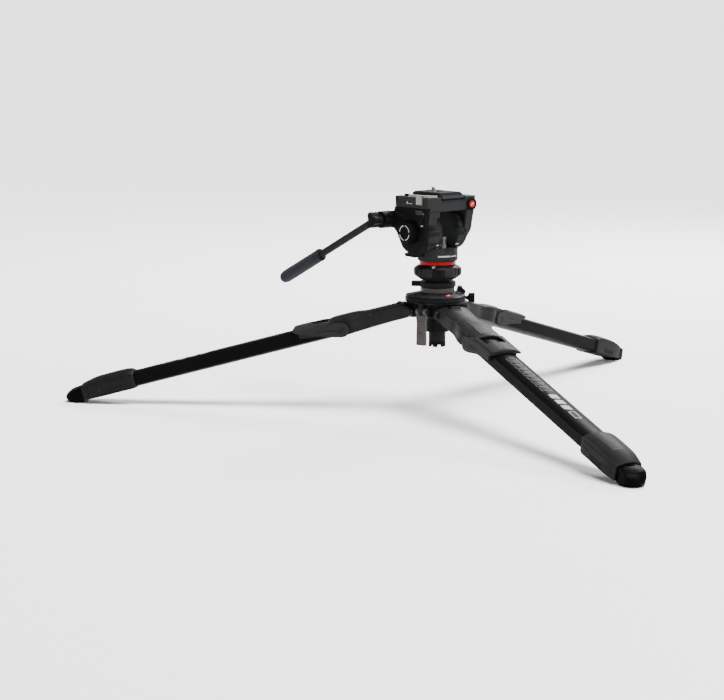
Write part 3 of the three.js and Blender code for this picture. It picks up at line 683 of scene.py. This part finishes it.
def casing_mesh():
    wide = prism("z", mirrored([(476, 15.6), (488, 13.6), (537, 11.8), (538.5, 10)]), 5, 30)
    narrow = mirrored([(466, 15), (488, 12.9), (536.4, 11.1), (537.7, 9.6)])
    panel_gap = slab((498, 535), (-40, 40), (-12, 9))
    tools = grooves(
        arch_loft(CASING, 5.2, 2.0, grow=-0.6),
        cut(wide, prism("z", narrow, 0, 40)), slab((470, 570), (-30, 30), (8.2, 8.9)),
        slab((556.2, 556.9), (-30, 30), (-8, 8)), slab((498, 535), (-30, 30), (-11.5, -3), 1.5, "y"),
        cut(slab((478, 552), (-30, 30), (-1.4, -0.8)), panel_gap))
    ribs = [slab((x, x + 1.8), (-23.1, 23.1), (-10.3, -4.2)) for x in range(502, 532, 4)]
    body = cut(arch_loft(CASING, 5.2, 2.0), *tools)
    return cut(join(body, *ribs), arch_bar(460, 500.3, **OUTER, grow=0.3),
               arch_bar(460, 600, **MIDDLE, grow=0.4))


def foot_mesh():
    """A rubber toe with a raised cap over its top, cut flat where it stands, on a root."""
    cap_plan = [(566.3, -19), (583, -19)] + [(588.5 - 4.5 * (s / 19) ** 2, s) for s in range(-18, 19, 3)]
    cap = common(arch_loft(TOE, 3.0, 5.0, grow=0.7, steps=20),
                 prism("z", cap_plan + [(583, 19), (566.3, 19)], -30, 30),
                 prism("y", [(560, 1.5), (590, 4), (590, 20), (560, 20)], -30, 30))
    body = join(arch_loft(TOE, 3.0, 5.0, steps=20), cap, arch_bar(551, 572, **MIDDLE, grow=-0.2))
    slope = math.radians(LEG_SLOPE)
    floor = [(x, (x * math.sin(slope) - HINGE_HEIGHT) / math.cos(slope)) for x in (540, 620)]
    ground = prism("y", floor + [(620, -60), (540, -60)], -40, 40)
    treads = [slab((x, x + 1.5), (-30, 30), (-25, -16.4)) for x in (571, 575.5)]
    return cut(body, ground, slab((569.6, 572.6), (-6.5, 6.5), (9.6, 20), 1.2), *treads)


def build_legs():
    section = {"outer": (OUTER, 62, 500), "middle": (MIDDLE, 76, 545), "lower": (LOWER, 90, 549)}
    tubes = {key: arch_tube(low, high, size) for key, (size, low, high) in section.items()}
    yoke, lever, casing, foot = yoke_mesh(), lever_mesh(), casing_mesh(), foot_mesh()
    for leg in LEGS:
        place = leg_frame(leg)
        parts = [
            ("yoke", yoke, "leg_casting", 0.5),
            ("lock_lever", lever, "leg_plastic", 0.5),
            ("lower_casing", casing, "leg_plastic", 0.45),
            ("outer_tube", tubes["outer"], "leg_tube_black", 0.5),
            ("middle_tube", tubes["middle"], "leg_tube_black", 0.4),
            ("lower_tube", tubes["lower"], "leg_tube_black", 0.4),
            ("foot", foot, "foot_rubber", 0.7),
        ]
        for part, mesh, slot, bevel in parts:
            replace(f"{leg}_{part}", copy_of(mesh), place, slot, bevel)
        mark_leg(leg, place)


def skin_on_tube(shape, lift=0.12):
    """A thin print that follows the outer tube's arched top."""
    layer = cut(arch_bar(190, 470, **OUTER, grow=lift), arch_bar(180, 480, **OUTER, grow=-0.4))
    return common(shape, layer)


def slanted(start, width, low, high, lean=4.0):
    return [(start, low), (start + width, low), (start + width + lean, high), (start + lean, high)]


def mark_leg(leg, place):
    """Plain outlined and solid bars where the maker's lettering would be."""
    body = NODE_BODY[f"{leg}_outer_tube"]
    outlined = []
    for i in range(9):
        start = 208 + i * 13.5
        outer = prism("z", slanted(start, 10, -8.5, 8.5), 0, 30)
        inner = prism("z", slanted(start + 1.2, 7.6, -7.3, 7.3, 3.4), -1, 31)
        outlined.append(cut(outer, inner))
    add(f"{leg}_tube_outline_marks", skin_on_tube(join(outlined[0], *outlined[1:])), place, body,
        None, bevel=None, material="faint_print")
    bars = [prism("z", slanted(start, 13, -6, 6), 0, 30) for start in (340, 359, 378)]
    frame_mark = cut(prism("z", slanted(400, 22, -5, 5, 2), 0, 30),
                     prism("z", slanted(401, 20, -4, 4, 1.6), -1, 31))
    add(f"{leg}_tube_solid_marks", skin_on_tube(join(*bars, frame_mark)), place, body,
        None, bevel=None, material="print")


# ---- crown and column ---------------------------------------------------------------------------


def lobe(radius, angle):
    """Swells radii beyond 30 into three lobes, one over each leg."""
    share = min(max((radius - 30) / 15, 0), 1)
    return radius * (1 + 0.07 * share * math.cos(3 * (angle - math.pi)))


def sector(inner, outer, start, end, steps=14):
    return arc((0, 0), outer, start, end, steps) + arc((0, 0), inner, end, start, steps)


def lobed_sector(inner, outer, start, end):
    points = []
    for x, y in sector(inner, outer, start, end):
        radius, angle = math.hypot(x, y), math.atan2(y, x)
        reach = lobe(radius, angle)
        points.append((reach * math.cos(angle), reach * math.sin(angle)))
    return points


def crown_mesh():
    body = lathe("z", [
        (14.4, 130), (18.6, 130), (19.2, 130.8), (20.5, 152), (26, 157), (26, 174), (42.4, 178.6),
        (47.6, 179.2), (49.2, 180.4), (49.5, 182.6), (48.6, 182.9), (48.6, 183.5), (49.9, 183.8),
        (50, 187.2), (49.4, 187.9), (48.3, 188.1), (48.3, 190), (14.4, 190),
    ], sides=180, closed=True, bend=lobe)
    lugs = []
    for azimuth in LEG_AZIMUTHS:
        lug = join(slab((20, 50), (-11, 11), (154.2, 180.6)),
                   rod("y", 10, -11, 11, (50, HINGE_HEIGHT), 48))
        lugs.append(turned(cut(lug, rod("y", 4.3, -20, 20, (50, HINGE_HEIGHT))), azimuth))
    pin = (46, 168)
    lever_lug = join(slab((42, 50), (-3.5, 3.5), (168, 180.6)), rod("y", 4.8, -3.5, 3.5, pin),
                     rod("y", 2, -10.2, 10.2, pin))
    ribs = [turned(slab((20, 42), (-1.5, 1.5), (160, 179)), azimuth) for azimuth in (0, 120)]
    return cut(join(body, *lugs, turned(lever_lug, -120), *ribs),
               rod("x", 3.1, 13, 80, (0, 186.5)), rod("z", 14.4, 120, 195, sides=64))


COVER_PROFILE = [(28.4, 190.3), (49.0, 190.3), (49.2, 190.9), (48.0, 191.9), (30.6, 195.8),
                 (30, 196), (28.4, 196)]


def cover_mesh():
    cone = lathe("z", COVER_PROFILE, sides=180, closed=True, bend=lobe)

    def cone_below(depth):
        lowered = [(0, 180), (60, 180), (60, 188.7 - depth), (28.4, 196.3 - depth), (0, 196.3 - depth)]
        return lathe("z", lowered, sides=180, bend=lobe)

    pockets = []
    for middle in (-120, 0, 120):
        pocket = prism("z", lobed_sector(33, 44.5, middle - 34, middle + 34), 180, 210)
        island = prism("z", lobed_sector(35, 42.2, middle - 28, middle + 28), 170, 220)
        pockets.append(cut(pocket, cone_below(1.3), common(island, cone_below(0.5))))
    return cut(cone, *pockets)


def badge(place, body, name, radius, squeeze):
    """A plain red oval with a white bar across it."""
    oval = lathe("z", [(0, 0), (radius, 0), (radius, 0.35), (radius - 0.3, 0.5), (0, 0.5)], sides=48)
    oval.transform(Matrix.Diagonal((1, squeeze, 1, 1)))
    add(name, oval, place, body, None, bevel=None, material="badge_red")
    bar = prism("z", filleted(mirrored([(-radius * 0.62, 0.9), (radius * 0.62, 0.9)]), 0.8), 0.1, 0.7)
    add(f"{name}_bar", turned(bar, 35), place, body, None, bevel=None, material="print")


def build_vial():
    """A bubble level: a ring, a slotted tube and a cap, turned as one piece."""
    spot = HEAD @ Matrix.Translation((20, -6, 0))
    body = lathe("z", [(0, 267.8), (5.4, 267.8), (5.4, 273.4), (4.9, 274.2), (4.7, 274.2), (4.7, 285.6),
                       (5.1, 286), (5.1, 288.2), (4.5, 288.8), (0, 288.8)], sides=48)
    slots = [turned(slab((3.6, 8), (-1.6, 1.6), (276, 284.4), 0.8, "x"), 60 * i) for i in range(6)]
    replace("level_vial", cut(body, *slots), spot, "vial", 0.2)


def build_crown():
    replace("crown", crown_mesh(), CENTRE, "black_alloy", 0.4)
    replace("crown_cover", cover_mesh(), CENTRE, "black_alloy", 0.35)
    lean = Matrix.Rotation(math.radians(14), 4, "Y")
    spot = Matrix.Rotation(math.radians(-60), 4, "Z") @ Matrix.Translation((41, 0, 193.6)) @ lean
    badge(CENTRE @ spot @ Matrix.Rotation(math.radians(90), 4, "Z"), "crown", "crown_badge", 6.0, 0.62)
    lever_mark = join(slab((48.3, 48.65), (-5, 5), (130.6, 131.3)),
                      slab((48.3, 48.65), (-1.8, 1.8), (132.4, 133.6)),
                      slab((48.3, 48.65), (-8.2, 8.2), (151.4, 152.1)))
    add("column_lever_mark", turned(lever_mark, -120), CENTRE, "column_lever", None, bevel=None,
        material="dark_print")


LOCK_RING = [(24.6, 217.2), (28, 217.2), (35.4, 221.8), (38.0, 225.6), (38.3, 227), (38.3, 233.8),
             (37.6, 235.8), (36.0, 238), (31.8, 240.3), (31, 240.6), (24.6, 240.6)]


def lock_ring_shell(outward, inward=None):
    """The ring grown by outward, or the layer between that and inward."""
    def form(grow):
        points = [(radius + (grow if radius > 30 else 0), z) for radius, z in LOCK_RING]
        return lathe("z", points, sides=120, closed=True)

    if inward is None:
        return form(outward)
    return cut(form(outward), lathe("z", [(0, 200), (inward, 200), (inward, 260), (0, 260)], sides=96))


def build_lock_ring():
    dips = [turned(slab((36.6, 45), (-5.2, 5.2), (224.5, 235), 1, "x"), 60 * i - 24)
            for i in range(6)]
    replace("lock_ring", cut(lock_ring_shell(0), *dips), CENTRE, "lock_ring_black", 0.5)
    pads = [turned(slab((34, 50), (-9.5, 9.5), (223, 236.4), 2, "x"), 60 * i + 6) for i in range(6)]
    ribs = [lathe("z", [(38.9, z), (50, z), (50, z + 0.7), (38.9, z + 0.7)], sides=96, closed=True)
            for z in (226.6, 229.2, 231.8)]
    shape = cut(common(join(*pads), lock_ring_shell(0.9, 36.6)), *ribs)
    add("lock_ring_pads", shape, CENTRE, "lock_ring", "pad_rubber", bevel=0.4)
    arrow = prism("y", [(-3.2, 240.6), (3.2, 240.6), (0, 237.4)], -41, -30)
    layer = cut(lock_ring_shell(0.15), lock_ring_shell(-0.5))
    add("lock_ring_pointer", common(turned(arrow, -8), layer), CENTRE, "lock_ring", None,
        bevel=None, material="print")


# ---- fluid head: X forward, Y away from the drag knob ---------------------------------------------


def near(low, high):
    """A span given towards the drag knob, as a span of Y."""
    return (-high, -low)


def disc_profile(radius, low, high, edge):
    """A solid disc's outline with its rims eased."""
    return [(0, low), (radius - edge, low), (radius, low + edge), (radius, high - edge),
            (radius - edge, high), (0, high)]


def tilt_disc(radius, span, edge=0.0, sides=96):
    if edge:
        return lathe("y", disc_profile(radius, *span, edge), (0, TILT_HEIGHT), sides)
    return rod("y", radius, *span, (0, TILT_HEIGHT), sides)


def housing_mesh():
    base = lathe("z", [(0, 248), (31.2, 248), (32.4, 248.6), (33, 249.8), (33, 268.8), (32.4, 270),
                       (0, 270)], sides=128)
    base = cut(base, slab((-60, 60), near(-17.5, 17.5), (269.2, 300)),
               tilt_disc(41, near(-34.2, -27.6)))
    drums = [tilt_disc(32, near(17.5, 50.7), 0.8), tilt_disc(32, near(-33.2, -17.5), 0.8)]
    ledge = lathe("z", [(32.2, 251.6), (40, 251.6), (40, 252.3), (32.2, 252.3)], sides=128, closed=True)
    lines = [cut(tilt_disc(33, near(t, t + 0.6)), tilt_disc(31.5, near(t - 1, t + 1.6)))
             for t in (22.5, -29.0)]
    return cut(join(base, *drums), ledge, *lines, tilt_disc(18.4, near(21.5, 60)),
               tilt_disc(8.4, near(-60, -19.4)), rod("x", 3.4, -60, -20, (0, 257)),
               rod("y", 4.7, *near(23, 60), (0, 259.5)), rod("z", 8.4, 240, 262.4))


def side_cover_mesh():
    side = [(37.5, 337.3, 1), (35, 310, 12), (34.5, 280, 8), (31, 266.5, 5), (14, 258, 4),
            (-2, 260.6, 10), (-21, 271, 12), (-35.7, 295, 6), (-43, 301.5, 3)]
    side += [(x, z, 0) for x, z in arc((-54, 315), 13.5, 270, 90, 24)]
    side += [(-42.5, 329.5, 3), (-40.5, 337.3, 1)]
    plate = prism("y", filleted(side, 1), *near(51, 58))
    seat = lathe("y", [(0, -80), (20, -80), (20, -56.4), (8.4, -56.4), (8.4, 0), (0, 0)],
                 (0, TILT_HEIGHT), 96)
    rims = [lathe("y", [(r, -60), (r, -57.5), (r + 0.6, -57.5), (r + 0.6, -60)], centre, 96, closed=True)
            for r, centre in ((22.4, (0, TILT_HEIGHT)), (11.2, (-54, 315)))]
    step = slab((-38, 36), near(57.5, 60), (333.6, 334.1))
    return cut(plate, seat, *rims, step, rod("y", 3.3, *near(0, 80), (-54, 315)))


def platform_mesh():
    side = [(-40.5, 337.8, 1), (-36, 331, 2), (36, 331, 2), (40, 336.4, 1.5), (40, 352.5, 1),
            (38, 354.5, 1), (-38.5, 354.5, 1), (-40.5, 352.5, 1)]
    plan = [(-40.5, -58), (40, -58), (40, 47), (-40.5, 47)]
    deck = common(prism("y", filleted(side, 1), -58, 47), prism("z", filleted(plan, 3), 330, 356))
    deck = cut(deck, slab((-60, 60), near(50.6, 68), (300, 337.7)))
    cheek_side = filleted([(-36, 332), (-34, 310), (35, 310), (38, 332)], 2)
    cheek = cut(prism("y", cheek_side, *near(33.5, 50.6)), tilt_disc(32.7, near(0, 60)))
    knuckle = cut(slab((20, 37.4), near(28.5, 50.6), (321, 333), 2, "y"), tilt_disc(32.7, near(0, 60)))
    arm_side = filleted([(-36, 332, 0), (-32, 297, 20), (-20, 281, 14), (20, 281, 14), (32, 297, 14),
                         (34, 302, 6), (40, 332, 0)], 2)
    arm = prism("y", arm_side, *near(-43, -33.6))
    dome = lathe("y", [(0, 33.6), (32, 33.6), (31.8, 35.4), (31.2, 37), (30, 38.6), (28, 40.2),
                       (25, 41.7), (21, 42.8), (16, 43.5), (8, 43.9), (0, 44)], (0, TILT_HEIGHT), 96)
    ring = lathe("y", [(11, 43.2), (11, 46), (12, 46), (12, 43.2)], (0, TILT_HEIGHT), 64, closed=True)
    strut = prism("y", [(33.4, 300), (34.2, 300), (40, 332), (33.4, 332)], *near(-34, -28))
    notches = [
        slab((-60, 60), near(-24, 27), (349, 400)), tilt_disc(8.3, near(-41.5, -30)),
        rod("z", 4.4, 351, 400, (-25, -45)), rod("z", 3.3, 350, 400, (33, -48)),
        slab((-37, -10), near(56.6, 60), (346.2, 353), 1.2, "y"),
        slab((-36, -14), near(57.3, 60), (342.8, 343.6)), slab((38.6, 45), near(-22, 20), (346.4, 350)),
        slab((38.8, 45), near(22, 29), (346.4, 353), 2, "x"), ring]
    body = join(deck, cheek, knuckle, arm, dome, strut)
    return cut(body, *notches)


def drag_knob_mesh():
    def flutes(radius, angle):
        return radius * (1 - (0.014 if radius > 16 and math.cos(24 * angle) < -0.3 else 0))

    body = lathe("y", [(0, -57.3), (16.4, -57.3), (17, -58), (17, -69.4), (16.2, -71.4), (15.4, -72),
                       (8.2, -72), (7.9, -71.2), (0, -71.2)], (0, TILT_HEIGHT), 192, bend=flutes)
    ring = lathe("y", [(13.6, -80), (13.6, -71.5), (14.2, -71.5), (14.2, -80)], (0, TILT_HEIGHT), 96,
                 closed=True)
    return cut(body, ring)


def build_knob_ring():
    """Four white arcs on the knob's face."""
    arcs = []
    for start, end in ((8, 82), (98, 172), (196, 262), (278, 350)):
        points = sector(11.0, 12.5, start, end, 18)
        arcs.append(prism("y", [(x, z + TILT_HEIGHT) for x, z in points], -72.15, -71.9))
    add("drag_knob_ring_marks", join(*arcs), HEAD, "drag_knob", None, bevel=None, material="print")


def cap_mesh():
    return lathe("x", [(0, 40.3), (10.2, 40.3), (10.4, 40.7), (10.4, 42.2), (9.4, 43.3), (8.6, 43.6),
                       (8.2, 43.0), (0, 43.0)], (36.5, 341), 72)


def face_marks():
    """Plain bars and ticks, standing in for the head's lettering."""
    face = near(57.95, 58.12)
    label = [cut(slab((x, x + 4.4), face, (327.4, 333.2), 1.2, "y"),
                 slab((x + 1, x + 3.4), near(50, 60), (328.6, 332.0), 0.6, "y"))
             for x in (12, 17.4, 22.8)]
    label.append(slab((28.2, 32.4), face, (327.4, 330.4), 0.5, "y"))
    add("cover_label", join(*label), HEAD, "tilt", None, bevel=None, material="faint_print")
    tick = slab((24.5, 29.9), face, (308.4, 310.4), 0.6, "y")
    add("cover_tick", tick, HEAD, "tilt", None, bevel=None, material="print")
    deck = [slab((-10.5, -8.2), face, (342.8, 347.0), 0.8, "y"),
            slab((-6.6, -4.6), face, (343, 344.8), 0.8, "y"), slab((-3.2, 2.2), face, (343.2, 344.4))]
    add("deck_marks", join(*deck), HEAD, "tilt", None, bevel=None, material="print")
    shell = cut(rod("z", 33.12, 240, 275, sides=128), rod("z", 32.8, 230, 280, sides=128))
    bars = [prism("z", sector(30, 36, start, end), 255.9, top)
            for start, end, top in ((-40, -4, 258.1), (-1, 12, 257.5), (14, 20, 258.1))]
    add("housing_bars", common(join(*bars), shell), HEAD, "pan", None, bevel=None, material="print")
    drums = cut(tilt_disc(32.12, near(-40, 60)), tilt_disc(31.8, near(-50, 70)))
    ticks = [slab((15, 30), near(18.4, 23.6), (274.4, 276.4)),
             slab((15, 30), near(-24.4, -18.4), (274.4, 276.4))]
    add("drum_ticks", common(join(*ticks), drums), HEAD, "pan", None, bevel=None, material="print")


def build_head():
    replace("pan_housing", housing_mesh(), HEAD, "black_alloy", 0.4)
    replace("drag_side_cover", side_cover_mesh(), HEAD, "black_plastic", 0.6)
    replace("tilt_platform", platform_mesh(), HEAD, "black_alloy", 0.5)
    replace("drag_knob", drag_knob_mesh(), HEAD, "black_plastic", 0.25)
    replace("corner_cap", cap_mesh(), HEAD, "black_plastic", 0.2)
    build_vial()
    build_knob_ring()
    face_marks()
    facing = Matrix(((0, 0, 1), (1, 0, 0), (0, 1, 0))).to_4x4()
    badge(HEAD @ Matrix.Translation((43.0, 36.5, 341)) @ facing, "tilt", "corner_badge", 5.6, 1.0)


def build_plate():
    foot = slab((-33, 33), near(-21.5, 24.5), (349.4, 356))
    nose = prism("y", [(30, 351.6), (39, 351.6), (39.4, 353), (36, 356.6), (30, 357.5)],
                 *near(-21.5, 24.5))
    top = slab((-34, 34), near(-23.5, 26.5), (355, 359.6), 3)
    plate = cut(join(foot, top, nose), rod("z", 8, 340, 353.2, (-10, -1.5)),
                rod("z", 3.5, 340, 380, (-10, -1.5)), slab((-31, -27), near(-12, 15), (358.6, 365), 1.8),
                slab((27.5, 31), near(-12, 15), (358.6, 365), 1.7))
    replace("camera_plate", plate, HEAD, "black_alloy", 0.4)
    pad = slab((-32, 32), near(-21.5, 24.5), (359.9, 361), 2.5)
    window = slab((-24, 6), near(-6.5, 9.5), (350, 370), 3)
    ribs = [slab((x, x + 0.9), near(-30, 30), (360.6, 362)) for x in range(-29, 31, 4)]
    replace("plate_pad", cut(pad, window, *ribs), HEAD, "pad_rubber", 0.15)


def build_bar():
    place = bar_frame()
    grip = lathe("x", [
        (6.55, 182), (9.4, 182), (10.7, 182.7), (11, 184), (11, 187.4), (10.5, 188.6), (9.7, 189.2),
        (9.7, 190.2), (10.3, 191.2), (10.7, 198), (10.9, 240), (10.9, 288), (10.5, 294),
        (9.4, 298.6), (7.6, 301.4), (4.6, 302.9), (0, 303.4), (0, 296.5), (6.55, 296.5),
    ], (0, BAR_OFFSET), 96)
    replace("bar_grip", grip, place, "foam_grip", 0.15)


build_legs()
build_crown()
build_lock_ring()
build_head()
build_plate()
build_bar()
add_camera()
add_stage()
dress_cad_nodes()
